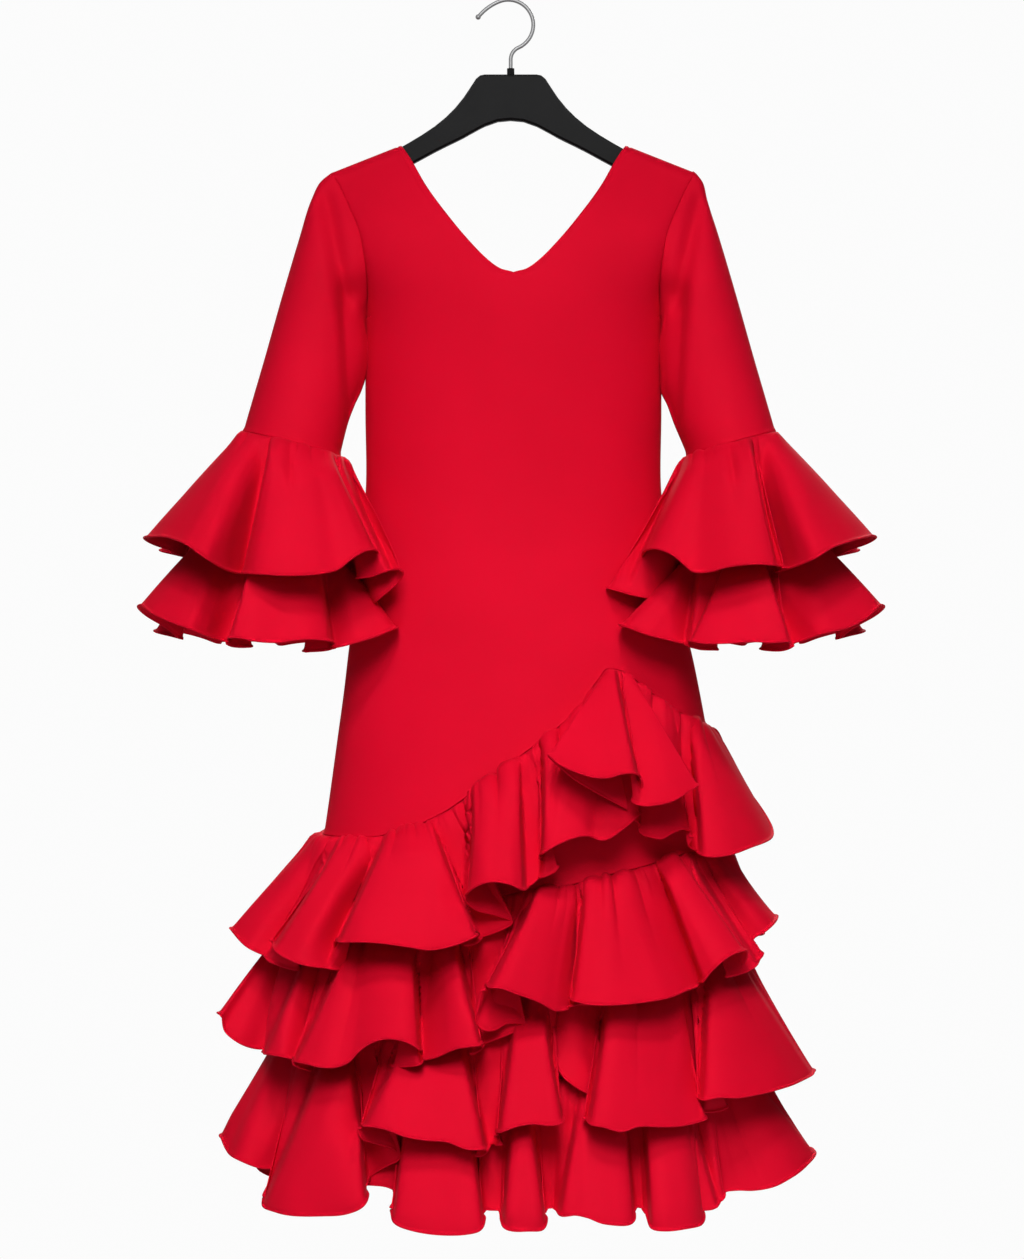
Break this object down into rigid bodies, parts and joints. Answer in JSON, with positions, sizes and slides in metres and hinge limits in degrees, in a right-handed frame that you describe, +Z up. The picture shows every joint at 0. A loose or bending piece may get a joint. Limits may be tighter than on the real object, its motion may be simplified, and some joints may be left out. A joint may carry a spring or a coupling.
{
  "type": "flamenco dress on a clothes hanger",
  "caption": "Long flamenco dress with a V neck, flared sleeves ending in double ruffles and a tiered ruffled skirt, hung on a shaped hanger.",
  "frame": {"origin": "inner top of the hanger's hook, where a rail bears", "axes": "+Z up along the dress, -Y out of its front, +X towards the viewer's right"},
  "size_m": [0.7914, 0.4782, 1.2947],
  "materials": {
    "crepe": "matte smooth crepe with a soft sheen",
    "hanger_black": "satin black",
    "steel": "satin steel wire"
  },
  "bodies": {
    "root": {"front": "crepe", "back": "crepe", "skirt_front": "crepe", "skirt_back": "crepe", "tier_a": "crepe", "tier_b": "crepe", "tier_c": "crepe", "tier_d": "crepe", "apex_flounce": "crepe", "sleeve_left": "crepe", "sleeve_right": "crepe", "ruffle_left_upper": "crepe", "ruffle_left_lower": "crepe", "ruffle_right_upper": "crepe", "ruffle_right_lower": "crepe", "hanger": "hanger_black", "collar": "hanger_black", "hook": "steel"}
  },
  "joints": []
}
